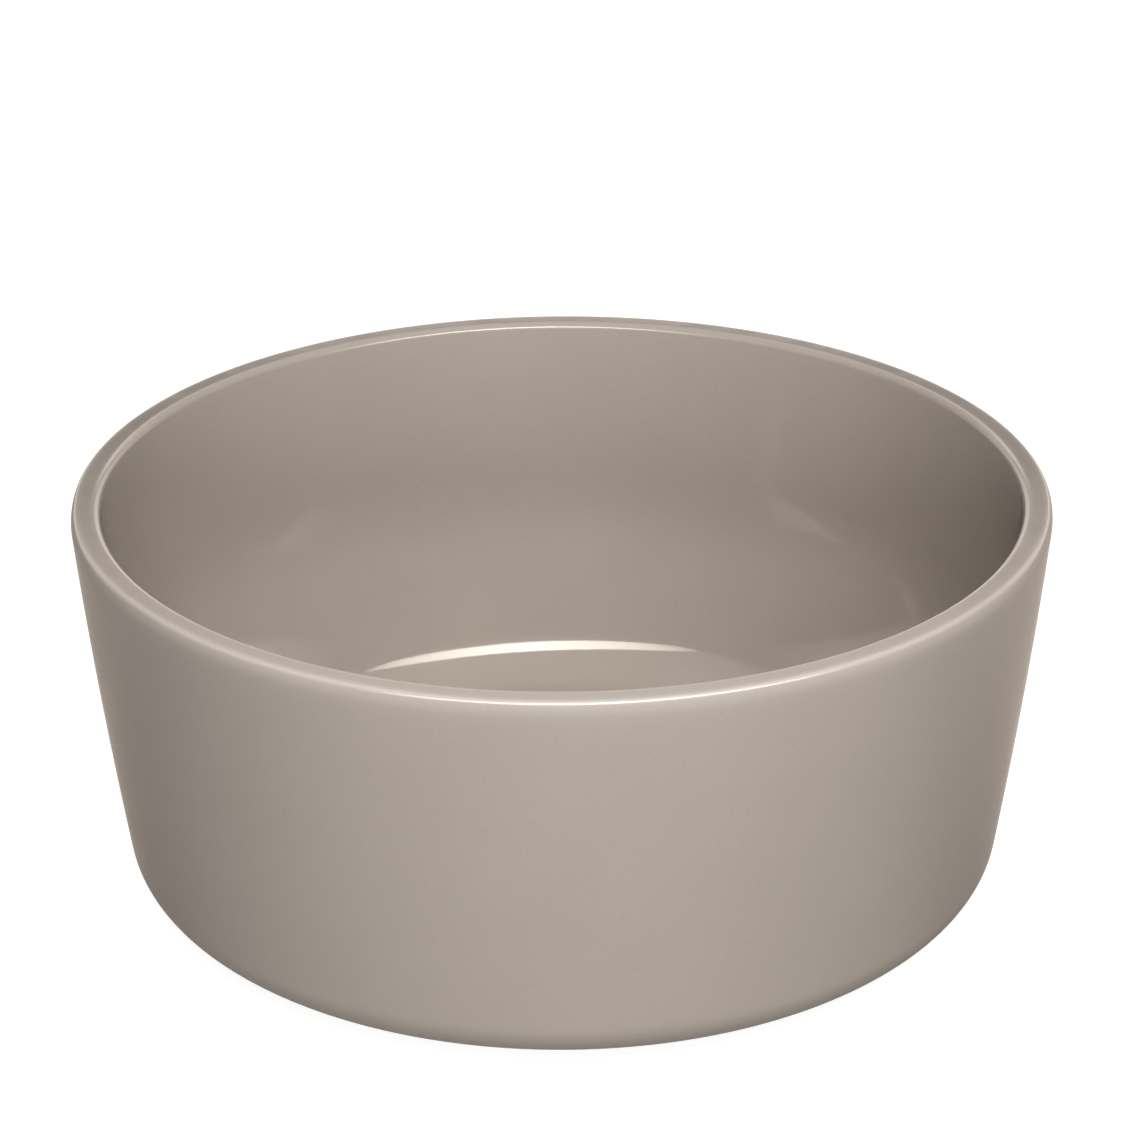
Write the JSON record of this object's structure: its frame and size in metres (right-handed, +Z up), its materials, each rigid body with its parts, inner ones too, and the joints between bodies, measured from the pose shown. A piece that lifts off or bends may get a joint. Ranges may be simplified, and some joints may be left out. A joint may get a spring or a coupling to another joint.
{
  "type": "ceramic bowl",
  "caption": "Round stoneware bowl with a slightly leaning wall, a flat-topped lip, an inside that narrows towards its floor and a low foot ring, in glossy taupe glaze. It holds food, or anything small.",
  "frame": {"origin": "centre of the foot ring's contact face, on the bowl's axis", "axes": "+Z up along the bowl's axis, out of its mouth; +X and +Y are level, and the picture looks along +Y"},
  "size_m": [0.2, 0.2, 0.0866],
  "materials": {
    "clay": "bare fired stoneware, matt and finely gritty",
    "glaze": "glossy opaque taupe glaze, faintly mottled with very fine specks"
  },
  "bodies": {
    "root": {"clay_body": "clay", "glaze_coat": "glaze", "base_glaze": "glaze"}
  },
  "joints": []
}
